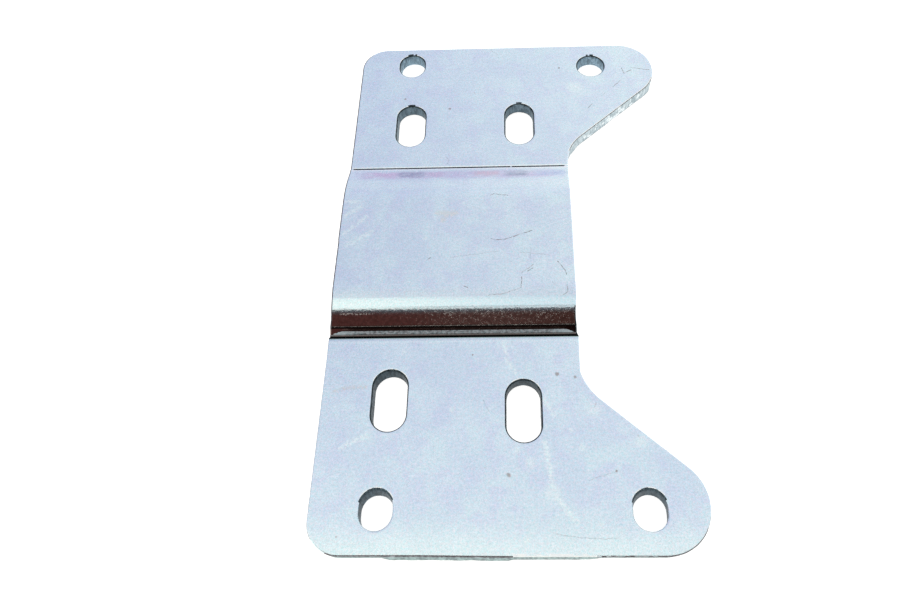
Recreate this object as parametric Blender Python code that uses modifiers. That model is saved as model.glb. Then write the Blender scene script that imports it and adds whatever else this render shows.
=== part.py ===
"""Transmission mount plate, folded from one piece of zinc-plated steel sheet.

Two flat flanges rest on the same plane. Between them a bridge stands one sheet
thickness higher, on two shallow webs that fold up from the flanges. The left
edge is straight. On the right each flange carries a rounded ear, and the notch
between the ears runs down to the waist. Each flange has two slots and two
shorter end holes.

A hole's place is its centre's distance from two edges. Across the plate, left
holes go from the left edge, right slots from the waist and right end holes from
the tip of their ear. Along it, each goes from the end of its own flange.
All sizes are in metres.
"""

import math

import bmesh
import bpy
from mathutils import Matrix, Vector

# Sheet
thickness = 0.00476
edge_break = 0.0005

# Plan outline. The far ear reaches a little beyond the near one.
length = 0.2115
waist_width = 0.0870
corner_radius = 0.0107

near_ear_reach = 0.1244
near_ear_radius = 0.0148
near_ear_slope = math.radians(41.0)

far_ear_reach_beyond = 0.0013
far_ear_radius = 0.0147
far_ear_slope = math.radians(41.8)

near_fillet_radius = 0.0210
near_fillet_kink = math.radians(16.0)
far_fillet_radius = 0.0170
far_fillet_kink = math.radians(0.0)

# Bridge folds
near_crease = 0.0722
far_crease_from_end = 0.0657
bridge_rise = 0.00476
web_angle = math.radians(21.0)
foot_radius = 0.0005
crown_radius = 0.0360
least_crown_flat = 0.0040

# Slots, long along y
slot_width = 0.0116
slot_length = 0.0210
near_left_slot = (0.0228, 0.0490)
near_right_slot = (0.0193, 0.0451)
far_left_slot = (0.0232, 0.0437)
far_right_slot = (0.0188, 0.0435)

# End holes, slightly long along y, but for the round one in the far ear
end_hole_width = 0.0106
end_hole_length = 0.0123
far_right_hole_bore = 0.0114
near_left_hole = (0.0210, 0.0136)
near_right_hole = (0.0184, 0.0132)
far_left_hole = (0.0219, 0.0096)
far_right_hole = (0.0261, 0.0118)

# Facets of round shapes
outline_facet = math.radians(5.0)
hole_facet = math.radians(9.0)
crown_facet = math.radians(2.2)
foot_facet = math.radians(8.0)
edge_break_segments = 2

# How far the cutting prisms run past the sheet
cutter_margin = 0.010

# Finish
zinc_colour = (0.55, 0.65, 0.72, 1.0)
zinc_roughness = 0.38


def clear_scene():
    for old in list(bpy.data.objects):
        bpy.data.objects.remove(old, do_unlink=True)


def new_collection(name):
    collection = bpy.data.collections.new(name)
    bpy.context.scene.collection.children.link(collection)
    return collection


def arc(centre, radius, start, end, facet):
    """Points of an arc from start to end, both in radians from +x."""
    steps = max(2, math.ceil(abs(end - start) / facet))
    angles = [start + (end - start) * step / steps for step in range(steps + 1)]
    return [
        (centre[0] + radius * math.cos(angle), centre[1] + radius * math.sin(angle))
        for angle in angles
    ]


def fillet_centre(waist, radius, kink, ear, ear_radius, normal):
    """Centre of the hollow arc from the waist to an ear's slanted edge.

    The arc meets the waist at the kink angle and runs tangent into the edge,
    which itself is tangent to the ear. The normal is the edge's, pointing out.
    """
    centre_x = waist + radius * math.cos(kink)
    across = ear_radius + radius - (centre_x - ear[0]) * math.cos(normal)
    return (centre_x, ear[1] + across / math.sin(normal))


def outline():
    """Plan outline, anticlockwise from the near left corner."""
    up = math.pi / 2
    near_ear = (near_ear_reach - near_ear_radius, near_ear_radius)
    far_ear_reach = near_ear_reach + far_ear_reach_beyond
    far_ear = (far_ear_reach - far_ear_radius, length - far_ear_radius)
    near_normal = up - near_ear_slope
    far_normal = far_ear_slope - up
    near_fillet = fillet_centre(
        waist_width,
        near_fillet_radius,
        near_fillet_kink,
        near_ear,
        near_ear_radius,
        near_normal,
    )
    far_fillet = fillet_centre(
        waist_width,
        far_fillet_radius,
        far_fillet_kink,
        far_ear,
        far_ear_radius,
        far_normal,
    )
    near_turn = (math.pi + near_normal, math.pi + near_fillet_kink)
    far_turn = (math.pi - far_fillet_kink, math.pi + far_normal)
    near_left = (corner_radius, corner_radius)
    far_left = (corner_radius, length - corner_radius)

    points = arc(near_left, corner_radius, math.pi, 3 * up, outline_facet)
    points += arc(near_ear, near_ear_radius, -up, near_normal, outline_facet)
    points += arc(near_fillet, near_fillet_radius, *near_turn, outline_facet)
    points += arc(far_fillet, far_fillet_radius, *far_turn, outline_facet)
    points += arc(far_ear, far_ear_radius, far_normal, up, outline_facet)
    points += arc(far_left, corner_radius, up, math.pi, outline_facet)
    return points


def obround(centre, width, full_length):
    """A slot's outline: two straight sides along y and two round ends."""
    radius = width / 2
    reach = full_length / 2 - radius
    far_end = (centre[0], centre[1] + reach)
    near_end = (centre[0], centre[1] - reach)
    points = arc(far_end, radius, 0, math.pi, hole_facet)
    points += arc(near_end, radius, math.pi, 2 * math.pi, hole_facet)
    return points


def circle(centre, radius):
    return arc(centre, radius, 0, 2 * math.pi, hole_facet)[:-1]


def fold_line(depth):
    """Side view (y, z) of the sheet at a depth below its top face, near to far."""
    far_crease = length - far_crease_from_end
    half_bend = math.tan(web_angle / 2)
    web_run = bridge_rise / math.tan(web_angle)
    crown_room = (far_crease - near_crease - least_crown_flat) / 2 - web_run
    crown_top = min(crown_radius, crown_room / half_bend)
    crown_run = crown_top * half_bend
    foot_run = foot_radius * half_bend
    foot_height = thickness + foot_radius
    crown_height = thickness + bridge_rise - crown_top
    down = -math.pi / 2
    up = math.pi / 2

    near_foot = (near_crease - foot_run, foot_height)
    near_crown = (near_crease + web_run + crown_run, crown_height)
    far_crown = (far_crease - web_run - crown_run, crown_height)
    far_foot = (far_crease + foot_run, foot_height)

    foot = foot_radius + depth
    crown = crown_top - depth
    points = [(-cutter_margin, thickness - depth)]
    points += arc(near_foot, foot, down, down + web_angle, foot_facet)
    points += arc(near_crown, crown, up + web_angle, up, crown_facet)
    points += arc(far_crown, crown, up, up - web_angle, crown_facet)
    points += arc(far_foot, foot, down - web_angle, down, foot_facet)
    points += [(length + cutter_margin, thickness - depth)]
    return points


def prism(name, points, height, matrix, collection):
    """A flat outline extruded to a closed solid, from 0 to height on its own z."""
    curve = bpy.data.curves.new(name, "CURVE")
    curve.dimensions = "2D"
    curve.fill_mode = "BOTH"
    curve.extrude = height / 2
    spline = curve.splines.new("POLY")
    spline.points.add(len(points) - 1)
    for point, place in zip(spline.points, points):
        point.co = (place[0], place[1], 0.0, 1.0)
    spline.use_cyclic_u = True
    drawn = bpy.data.objects.new(name + "_outline", curve)
    collection.objects.link(drawn)
    bpy.context.view_layer.update()
    evaluated = drawn.evaluated_get(bpy.context.evaluated_depsgraph_get())
    mesh = bpy.data.meshes.new_from_object(evaluated)
    bpy.data.objects.remove(drawn, do_unlink=True)

    welded = bmesh.new()
    welded.from_mesh(mesh)
    bmesh.ops.remove_doubles(welded, verts=welded.verts, dist=1e-6)
    bmesh.ops.translate(welded, verts=welded.verts, vec=Vector((0, 0, height / 2)))
    flat = math.radians(1.0)
    bmesh.ops.dissolve_limit(
        welded, angle_limit=flat, verts=welded.verts, edges=welded.edges
    )
    bmesh.ops.transform(welded, matrix=matrix, verts=welded.verts)
    bmesh.ops.recalc_face_normals(welded, faces=welded.faces)
    welded.to_mesh(mesh)
    welded.free()

    solid = bpy.data.objects.new(name, mesh)
    collection.objects.link(solid)
    return solid


def add_cutter(name, points, placing, collection):
    """A plan outline as a tall prism that passes the whole folded sheet."""
    height = thickness + bridge_rise + 2 * cutter_margin
    lowered = placing @ Matrix.Translation((0, 0, -cutter_margin))
    cutter = prism(name, points, height, lowered, collection)
    cutter.display_type = "WIRE"
    cutter.hide_render = True
    return cutter


def cut(target, cutter, operation):
    modifier = target.modifiers.new(cutter.name, "BOOLEAN")
    modifier.operation = operation
    modifier.solver = "EXACT"
    modifier.object = cutter


def zinc_material():
    material = bpy.data.materials.new("zinc_plated_steel")
    material.use_nodes = True
    shader = material.node_tree.nodes["Principled BSDF"]
    shader.inputs["Base Color"].default_value = zinc_colour
    shader.inputs["Metallic"].default_value = 1.0
    shader.inputs["Roughness"].default_value = zinc_roughness
    material.diffuse_color = zinc_colour
    return material


def hole_outlines():
    """Every hole's name and outline, each placed from its own two edges."""
    far_ear_reach = near_ear_reach + far_ear_reach_beyond
    slots = {
        "near_left_slot": near_left_slot,
        "near_right_slot": (waist_width - near_right_slot[0], near_right_slot[1]),
        "far_left_slot": (far_left_slot[0], length - far_left_slot[1]),
        "far_right_slot": (waist_width - far_right_slot[0], length - far_right_slot[1]),
    }
    end_holes = {
        "near_left_hole": near_left_hole,
        "near_right_hole": (near_ear_reach - near_right_hole[0], near_right_hole[1]),
        "far_left_hole": (far_left_hole[0], length - far_left_hole[1]),
    }
    ear_hole = (far_ear_reach - far_right_hole[0], length - far_right_hole[1])
    outlines = {}
    for name, centre in slots.items():
        outlines[name] = obround(centre, slot_width, slot_length)
    for name, centre in end_holes.items():
        outlines[name] = obround(centre, end_hole_width, end_hole_length)
    outlines["far_right_hole"] = circle(ear_hole, far_right_hole_bore / 2)
    return outlines


def build():
    clear_scene()
    parts = new_collection("transmission_mount_plate")
    cutters = new_collection("cutters")
    overall_width = near_ear_reach + max(0.0, far_ear_reach_beyond)
    centred = Matrix.Translation((-overall_width / 2, -length / 2, 0))

    # The folded strip is drawn in side view (y, z) and extruded along x.
    strip_width = overall_width + 2 * cutter_margin
    side_view = Matrix(((0, 0, 1, -cutter_margin), (1, 0, 0, 0), (0, 1, 0, 0), (0, 0, 0, 1)))
    strip = fold_line(0) + fold_line(thickness)[::-1]
    plate = prism("mount_plate", strip, strip_width, centred @ side_view, parts)

    cut(plate, add_cutter("plan_outline", outline(), centred, cutters), "INTERSECT")
    for name, points in hole_outlines().items():
        cut(plate, add_cutter(name, points, centred, cutters), "DIFFERENCE")

    rims = plate.modifiers.new("edge_break", "BEVEL")
    rims.limit_method = "ANGLE"
    rims.angle_limit = math.radians(60.0)
    rims.width = edge_break
    rims.segments = edge_break_segments

    plate.data.materials.append(zinc_material())


build()
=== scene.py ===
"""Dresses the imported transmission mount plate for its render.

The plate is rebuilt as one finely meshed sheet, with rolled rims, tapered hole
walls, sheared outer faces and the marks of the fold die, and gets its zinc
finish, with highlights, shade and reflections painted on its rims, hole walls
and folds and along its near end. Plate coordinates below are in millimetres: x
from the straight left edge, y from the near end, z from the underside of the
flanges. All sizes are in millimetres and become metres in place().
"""

import math
from types import SimpleNamespace

import bpy
from mathutils import Matrix, Vector, noise
from mathutils.geometry import delaunay_2d_cdt


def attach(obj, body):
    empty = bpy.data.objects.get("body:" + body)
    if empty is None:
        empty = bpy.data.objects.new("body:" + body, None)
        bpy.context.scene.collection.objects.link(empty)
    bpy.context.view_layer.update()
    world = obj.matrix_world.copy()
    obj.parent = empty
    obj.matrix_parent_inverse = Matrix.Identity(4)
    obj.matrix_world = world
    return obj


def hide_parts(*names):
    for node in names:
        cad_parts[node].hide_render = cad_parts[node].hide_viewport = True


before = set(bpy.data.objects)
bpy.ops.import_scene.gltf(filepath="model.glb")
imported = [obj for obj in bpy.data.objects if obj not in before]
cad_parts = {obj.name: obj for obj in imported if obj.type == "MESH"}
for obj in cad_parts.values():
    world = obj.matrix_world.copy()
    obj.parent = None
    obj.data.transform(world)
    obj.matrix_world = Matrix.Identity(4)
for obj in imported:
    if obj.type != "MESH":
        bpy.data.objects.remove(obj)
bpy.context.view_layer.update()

# ---------------------------------------------------------------- plate sizes
MM = 0.001
CENTRE_X, CENTRE_Y = 62.85, 105.75
THICK = 4.76
LENGTH = 211.5
WAIST = 87.0
CORNER_R = 10.7
NEAR_EAR = dict(reach=124.4, radius=14.8, slope=41.0)
FAR_EAR = dict(reach=125.7, radius=14.7, slope=41.8)
NEAR_FILLET = dict(radius=21.0, kink=16.0)
FAR_FILLET = dict(radius=17.0, kink=0.0)
NEAR_CREASE = 72.2
FAR_CREASE = LENGTH - 65.7
RISE = 4.76
WEB_ANGLE = math.radians(21.0)
CROWN_R = 36.0

# Centre, width and length of each hole, how far the punch drifted on its way
# down, and which of its rims get painted shade
HOLES = {
    "near_left_slot": ((22.8, 49.0), 11.6, 21.0, (0.0, -0.65), "both"),
    "near_right_slot": ((67.7, 45.1), 11.6, 21.0, (0.0, -0.10), "both"),
    "far_left_slot": ((23.2, 167.8), 11.6, 21.0, (0.0, 0.0), "both"),
    "far_right_slot": ((68.2, 168.0), 11.6, 21.0, (0.0, 0.0), "both"),
    "near_left_hole": ((21.0, 13.6), 10.6, 12.3, (0.0, -1.00), "none"),
    "near_right_hole": ((106.0, 13.2), 10.6, 12.3, (0.45, -0.80), "none"),
    "far_left_hole": ((21.9, 201.9), 10.6, 12.3, (0.0, -0.10), "top"),
    "far_right_hole": ((99.6, 199.7), 11.4, 11.4, (0.2, -0.10), "top"),
}

WEB_RUN = RISE / math.tan(WEB_ANGLE)
CROWN_RUN = CROWN_R * math.tan(WEB_ANGLE / 2)
RAMP = WEB_RUN + CROWN_RUN

# Side view of the near fold's foot, as distance past the crease and height
# over the flange. The die leaves a groove, a narrow land and a small lip.
FOOT_BEFORE = ((-1.20, 0.0), (-0.45, 0.0), (-0.28, -0.03), (-0.12, -0.16), (0.16, -0.20),
               (0.40, -0.06), (0.55, 0.12), (0.72, 0.28))
LAND_LENGTH = 1.40
LAND_SLOPE = 0.17
FOOT_AFTER = ((2.95, 1.00), (3.05, 1.05), (3.20, 1.25), (3.40, 1.32), (3.75, 1.38),
              (4.00, 1.52), (4.40, 1.689))
LAND_TAPER = 4.5

# Fold rows: distances past each crease where the mesh has a line across
NEAR_ROWS = (-3.0, -1.2, -0.45, -0.28, -0.12, 0.16, 0.40, 0.55, 0.72, 0.95, 1.2, 1.45, 1.7,
             1.95, 2.12, 2.4, 2.7, 2.95, 3.05, 3.2, 3.4, 3.75, 4.0, 4.4, 5.0, 5.73, 6.5, 7.3,
             8.1, 8.9, 9.7, 10.5, 11.3, 12.1, 12.9, 13.7, 14.6, 15.5, 16.4, 17.3, 18.2,
             19.07, 21.0)
FAR_ROWS = (-1.6, -0.9, -0.4, -0.2, -0.06, 0.06, 0.2, 0.45, 0.9, 1.6, 2.6, 3.8, 5.0,
            5.73, 6.6, 7.5, 8.4, 9.3, 10.2, 11.1, 12.0, 13.0, 14.0, 15.0, 16.0, 17.0,
            18.0, 19.07, 21.0)
ROW_STEP = 1.2

# Distance between points along the arcs of the outline and of the holes, and
# along the straight parts of each once it is refined
ARC_STEP = 0.9
HOLE_ARC_STEP = 0.7
EDGE_STEP = 1.4
HOLE_STEP = 1.0
SHORTEST_RUN = 1e-6

# Twice the area, in square millimetres, under which a fill triangle is only a
# rounding error along a straight edge
SLIVER = 0.002

# Rim profiles as (inset from the edge, depth below the top face)
OUTER_RIM = ((0.96, 0.0), (0.48, 0.0), (0.30, 0.015), (0.18, 0.06), (0.08, 0.15), (0.01, 0.30),
             (-0.02, 0.50), (-0.05, 1.5), (-0.08, 2.7), (-0.12, 3.8), (-0.14, 4.35),
             (-0.06, 4.62), (0.15, 4.76), (0.55, 4.76))
HOLE_RIM = ((1.15, 0.0), (0.75, 0.0), (0.48, 0.03), (0.34, 0.09), (0.18, 0.20), (0.07, 0.36),
            (0.03, 0.60), (0.0, 1.5), (-0.03, 2.7), (-0.07, 3.8), (-0.10, 4.30),
            (-0.06, 4.60), (0.10, 4.76), (0.45, 4.76))

# Depths below the top face where a rim's finish changes
FACE_END = 0.005
GLINT_END = 0.03
RIM_END = 0.42
FOOT_START = 4.45
HOLE_FOOT_START = 4.4

# Where along the plate the near end's edge stops and the far ear starts
NEAR_END = 20.0
FAR_EAR_START = 150.0

# Places across the near edge: its dark line of painted shade starts, the burr
# under it starts, the torn part with its painted highlight starts and ends, and
# the dark line of painted shade is whole again
DARK_START = 6.0
BURR_PLACE = 23.0
BRIGHT_START = 62.5
BRIGHT_END = 88.0
WHOLE_AGAIN = 106.0

# How far the sheared outline stands outside the nominal one on the flanges, and
# how far it is drawn in on the webs and the bridge
NEAR_SWELL = 0.22
CREASE_SWELL = 0.16
CREASE_SWELL_LENGTH = 9.0
NEAR_FACE_SWELL = 0.30
BRIDGE_DRAW = 0.11
RIGHT_WEB_DRAW = 0.35
FAR_WEB_SWELL = 0.15
FAR_FACE_DRAW = -0.50
FAR_SIDE_DRAW = -0.35

# How far the underside stands out past the top: the near edge's burr, what it
# loses at the bright part and past it, its plain part, and the far ear
BURR = 0.65
BURR_LOSS = 0.40
NEAR_DRAW = 0.15
NEAR_EAR_LOSS = 0.50
FAR_EAR_SPREAD = 0.55

# The hair-thin groove along the far crease
GROOVE_REACH = 0.42
GROOVE_DEPTH = 0.16


# ------------------------------------------------------------------ outlines
def arc(centre, radius, start, end, step=ARC_STEP):
    """Points along an arc, angles in degrees, about one step apart."""
    span = math.radians(end - start)
    count = max(6, math.ceil(abs(span) * radius / step))
    angles = [math.radians(start) + span * i / count for i in range(count + 1)]
    return [(centre[0] + radius * math.cos(a), centre[1] + radius * math.sin(a)) for a in angles]


def fillet_centre(fillet, ear, normal):
    """Centre of the hollow arc between the waist and an ear's slanted edge."""
    x = WAIST + fillet["radius"] * math.cos(math.radians(fillet["kink"]))
    ear_x, ear_y = ear["centre"]
    across = ear["radius"] + fillet["radius"] - (x - ear_x) * math.cos(math.radians(normal))
    return (x, ear_y + across / math.sin(math.radians(normal)))


def outline():
    """The plate's plan outline, anticlockwise from the near left corner."""
    near = dict(NEAR_EAR, centre=(NEAR_EAR["reach"] - NEAR_EAR["radius"], NEAR_EAR["radius"]))
    far = dict(FAR_EAR, centre=(FAR_EAR["reach"] - FAR_EAR["radius"], LENGTH - FAR_EAR["radius"]))
    near_normal = 90.0 - NEAR_EAR["slope"]
    far_normal = FAR_EAR["slope"] - 90.0
    near_fillet = fillet_centre(NEAR_FILLET, near, near_normal)
    far_fillet = fillet_centre(FAR_FILLET, far, far_normal)
    points = arc((CORNER_R, CORNER_R), CORNER_R, 180.0, 270.0)
    points += arc(near["centre"], near["radius"], -90.0, near_normal)
    points += arc(near_fillet, NEAR_FILLET["radius"], 180.0 + near_normal,
                  180.0 + NEAR_FILLET["kink"])
    points += arc(far_fillet, FAR_FILLET["radius"], 180.0 - FAR_FILLET["kink"],
                  180.0 + far_normal)
    points += arc(far["centre"], far["radius"], far_normal, 90.0)
    points += arc((CORNER_R, LENGTH - CORNER_R), CORNER_R, 90.0, 180.0)
    return points


def obround(centre, width, length):
    """A hole's outline: two straight sides along y and two round ends."""
    radius = width / 2
    reach = length / 2 - radius
    points = arc((centre[0], centre[1] + reach), radius, 0.0, 180.0, HOLE_ARC_STEP)
    points += arc((centre[0], centre[1] - reach), radius, 180.0, 360.0, HOLE_ARC_STEP)
    return points


def refine(points, rows, step):
    """Adds points along long edges, and one wherever an edge crosses a fold row."""
    fine = []
    for (ax, ay), (bx, by) in zip(points, points[1:] + points[:1]):
        run = math.hypot(bx - ax, by - ay)
        if run < SHORTEST_RUN:
            continue
        cuts = {0.0}
        count = max(1, math.ceil(run / step))
        if abs(by - ay) > 1e-3 * SHORTEST_RUN:
            crossed = [(row - ay) / (by - ay) for row in rows]
            crossed = [t for t in crossed if 0.0 < t < 1.0]
            cuts.update(crossed)
        for i in range(1, count):
            t = i / count
            if all(abs(t - c) * run > 0.35 * step for c in cuts):
                cuts.add(t)
        fine += [(ax + (bx - ax) * t, ay + (by - ay) * t) for t in sorted(cuts)]
    return fine


def outward(points):
    """Unit normals of an anticlockwise loop, pointing out of it."""
    normals = []
    count = len(points)
    for i, (x, y) in enumerate(points):
        px, py = points[i - 1]
        nx, ny = points[(i + 1) % count]
        first = Vector((y - py, px - x)).normalized()
        second = Vector((ny - y, x - nx)).normalized()
        middle = (first + second).normalized()
        normals.append(middle / max(0.5, middle.dot(first)))
    return normals


# -------------------------------------------------------------------- surface
def fold(y):
    """Height and slope of the plain top face at a distance from the near end."""
    near, far = y - NEAR_CREASE, FAR_CREASE - y
    d = min(near, far)
    side = 1.0 if near < far else -1.0
    if d <= 0.0:
        return THICK, 0.0
    if d >= RAMP:
        return THICK + RISE, 0.0
    if d <= WEB_RUN - CROWN_RUN:
        return THICK + d * math.tan(WEB_ANGLE), side * math.tan(WEB_ANGLE)
    run = RAMP - d
    drop = math.sqrt(CROWN_R ** 2 - run ** 2)
    return THICK + RISE - CROWN_R + drop, side * run / drop


def smooth(t):
    """0 below 0, 1 above 1, with a soft rise between."""
    t = min(1.0, max(0.0, t))
    return t * t * (3.0 - 2.0 * t)


def along(profile, d):
    """Height of a profile of (distance, height) points at a distance."""
    for (da, za), (db, zb) in zip(profile, profile[1:]):
        if da <= d <= db:
            return za + (zb - za) * (d - da) / (db - da)
    return None


def fold_marks(x, y):
    """How far the die's marks stand over the plain top face."""
    ends = min(x, WAIST - x)
    near, far = y - NEAR_CREASE, FAR_CREASE - y
    if FOOT_BEFORE[0][0] < near < FOOT_AFTER[-1][0]:
        start, foot = FOOT_BEFORE[-1]
        land = LAND_LENGTH * smooth(ends / LAND_TAPER)
        profile = FOOT_BEFORE + ((start + land + 1e-4, foot + LAND_SLOPE * land),) + FOOT_AFTER
        plain = max(0.0, near) * math.tan(WEB_ANGLE)
        return along(profile, near) - plain
    if abs(far) < GROOVE_REACH:
        depth = GROOVE_DEPTH * smooth((ends - 1.0) / 1.2)
        return -depth * (1.0 - abs(far) / GROOVE_REACH)
    return 0.0


def place(x, y, depth):
    """The row-frame position of a plan point at a depth in the sheet."""
    height, slope = fold(y)
    length = math.hypot(1.0, slope)
    marks = fold_marks(x, y) * max(0.0, 1.0 - depth / 0.5)
    z = height + marks - depth / length
    y = y + depth * slope / length
    return Vector(((x - CENTRE_X) * MM, (y - CENTRE_Y) * MM, z * MM))


def draw_in(x, y, normal):
    """How far the sheared outline lies inside the nominal one."""
    near, far = y - NEAR_CREASE, FAR_CREASE - y
    if near <= 0.0:
        if normal.y < -0.5:
            return -NEAR_FACE_SWELL * smooth((x - 30.0) / 35.0)
        return -NEAR_SWELL - CREASE_SWELL * max(0.0, 1.0 + near / CREASE_SWELL_LENGTH)
    if near < far:
        drawn = BRIDGE_DRAW * smooth((near - 3.0) / 3.0) * (2.0 - smooth((near - 10.0) / 8.0))
        if normal.x > 0.0:
            web = smooth(near / 1.0) * (1.0 - smooth((near - 8.0) / 5.0))
            drawn += RIGHT_WEB_DRAW * web - 0.10
        return drawn
    if far > 0.0:
        return BRIDGE_DRAW * smooth(far / 1.2) - FAR_WEB_SWELL
    return FAR_FACE_DRAW * max(0.0, normal.y) + FAR_SIDE_DRAW * max(0.0, normal.x)


def wander(x, y, depth, amount, size):
    """A smooth random offset, with bumps of about the size given."""
    return amount * noise.noise(Vector((x / size, y / size, depth / size)))


def spread(x, y, normal):
    """How far the sheared underside stands out past the top on the outer edge."""
    burr = BURR * smooth((x - BURR_PLACE) / 3.0) - BURR_LOSS * smooth((x - 62.0) / 2.0)
    burr -= NEAR_DRAW + NEAR_EAR_LOSS * smooth((x - 86.0) / 5.0)
    near_side = burr * smooth((-normal.y - 0.5) / 0.4)
    facing = smooth((normal.x - 0.3) / 0.3) * smooth((-normal.y - 0.3) / 0.3)
    far_ear = facing * smooth((y - FAR_EAR_START) / 5)
    return near_side + FAR_EAR_SPREAD * far_ear


def outer_zone(x, y, normal, depth):
    """Which finish a rim face of the outer edge has: painted shade on rims that face left, at the
    near right corner, on the right side of the near web and on the far ear, whose top rim gets a
    painted glint.
    """
    if normal.y < -0.5 and y < NEAR_END:
        return near_edge_zone(x, y, depth)
    rim = "face"
    # Painted shade on rims that face left
    if normal.x < -0.6 and depth > (FACE_END if y > 75.0 else 0.10):
        rim = "rim"
    # Painted shade at the near right corner
    if normal.x > 0.5 and normal.y < -0.25 and y < 14.0 and depth > 0.1:
        rim = "rim"
    # Painted shade on the right side of the near web
    if normal.x > 0.6 and NEAR_CREASE < y < NEAR_CREASE + 9.0:
        rim = "hole_rim"
    # The far ear: a painted glint on top, then a band of painted shade
    if normal.x > 0.3 and normal.y < -0.3 and y > FAR_EAR_START:
        rim = "painted_glint" if depth < 0.1 else "rim" if depth < 0.25 else "edge"
    return by_depth(depth, rim, "edge")


def near_edge_zone(x, y, depth):
    """The near edge: dark with painted shade at both ends, and torn with a painted highlight
    between.
    """
    rim = "face"
    broken = noise.noise(Vector((x / 1.1, y / 1.1, 7.0)))
    # Painted shade in a dark line left of the bright part, a painted highlight in the bright part,
    # and painted shade again past it
    if x < BRIGHT_START:
        rim = "rim" if x > DARK_START and depth > 0.03 else "face"
    elif x < BRIGHT_END:
        rim = "painted_glint" if depth < 0.2 else "near_wall"
        if depth < FACE_END and broken > -0.05 + 0.5 * smooth((x - 84.0) / 4.0):
            return "painted_glint"
    elif depth > (0.02 if x > WHOLE_AGAIN else 0.05 + 0.2 * broken):
        rim = "rim"
    return by_depth(depth, rim, "near_wall")


def by_depth(depth, rim, wall):
    """The finish from top to bottom: face, rim, wall and the foot's rim, which is painted shade."""
    if depth < FACE_END:
        return "face"
    if depth < RIM_END:
        return rim
    return "rim" if depth > FOOT_START else wall


def hole_zone(x, y, normal, depth, dark):
    """Which finish a rim face of a hole has: painted glints on the rollover, painted shade on the
    dark rims and at the foot, and a painted reflection on the far rollover of holes without dark
    rims.
    """
    lean = abs(math.degrees(math.atan2(normal.x, normal.y)))
    broken = noise.noise(Vector((x / 1.3, y / 1.3, 3.0)))
    # Dark bits at the top of the far holes' rims: painted shade
    if depth < 0.10 and lean < 15.0 and y > FAR_EAR_START and broken > -0.15:
        return "hole_rim"
    if depth < FACE_END:
        return "face"
    # A painted glint on the rollover, broken up by noise
    if depth < GLINT_END:
        glint = lean < 66.0 and broken > -0.12 + 0.004 * abs(lean - 42.0)
        return "painted_glint" if glint else "face"
    if depth < RIM_END:
        # The rim band: painted shade on the dark rims, and on holes without them the far rollover
        # takes the wall's darker finish as a painted reflection
        if dark == "none":
            return "hole" if normal.y > 0.3 else "face"
        return "hole_rim" if normal.y > -0.4 else "hole"
    # Painted shade on the foot's rim of holes with both rims dark
    return "hole_rim" if depth > HOLE_FOOT_START and dark == "both" else "hole"


# ------------------------------------------------------------- plate as a mesh
# Order of the plate's materials; the two dark rim finishes are painted shade, and the last one is a
# painted highlight
FINISHES = ("face", "hole", "edge", "near_wall", "rim", "hole_rim", "painted_glint")


def build_plate():
    """The whole plate: rims of the outline and the holes, then both faces."""
    rows = [NEAR_CREASE + d for d in NEAR_ROWS] + [FAR_CREASE - d for d in FAR_ROWS]
    edge = refine(outline(), rows, EDGE_STEP)
    loops = [(edge, outward(edge), OUTER_RIM, -1.0, (0.0, 0.0), None)]
    for centre, width, length, drift, dark in HOLES.values():
        hole = refine(obround(centre, width, length), (), HOLE_STEP)
        loops.append((hole, outward(hole), HOLE_RIM, 1.0, drift, dark))

    verts, faces, kinds = [], [], []
    tops, bottoms = [], []
    for points, normals, rim, side, drift, dark in loops:
        rings = []
        for inset, depth in rim:
            ring = []
            down = depth / THICK
            for (x, y), normal in zip(points, normals):
                give = side * inset
                deep = min(1.0, depth / 0.3)
                if side < 0:
                    give -= draw_in(x, y, normal)
                    rough = 0.05 + 0.22 * max(0.0, spread(x, y, normal)) * down
                    give += deep * wander(x, y, 0.3 * depth, rough, 2.8)
                    give += spread(x, y, normal) * down
                else:
                    give += deep * wander(x, y, depth, 0.05, 2.0)
                    give += 0.14 * max(0.0, normal.y) * max(0.0, 1.0 - depth / 1.5)
                px = x + normal.x * give + drift[0] * down
                py = y + normal.y * give + drift[1] * down
                ring.append(len(verts))
                verts.append((px, py, depth))
            rings.append(ring)
        tops.append(rings[0])
        bottoms.append(rings[-1])
        count = len(points)
        for level, (upper, lower) in enumerate(zip(rings, rings[1:])):
            depth = (rim[level][1] + rim[level + 1][1]) / 2
            for i in range(count):
                j = (i + 1) % count
                x, y = points[i]
                if side < 0:
                    quad = (upper[i], lower[i], lower[j], upper[j])
                    zone = outer_zone(x, y, normals[i], depth)
                else:
                    quad = (upper[j], lower[j], lower[i], upper[i])
                    zone = hole_zone(x, y, normals[i], depth, dark)
                faces.append(quad)
                kinds.append(zone)

    fill_face(verts, faces, kinds, tops, rows, True)
    fill_face(verts, faces, kinds, bottoms, rows, False)

    mesh = bpy.data.meshes.new("folded_plate")
    places = [place(x, y, depth) for x, y, depth in verts]
    mesh.from_pydata(places, [], faces)
    for polygon, kind in zip(mesh.polygons, kinds):
        polygon.material_index = FINISHES.index(kind)
        polygon.use_smooth = True
    mesh.update()
    return mesh


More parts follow.
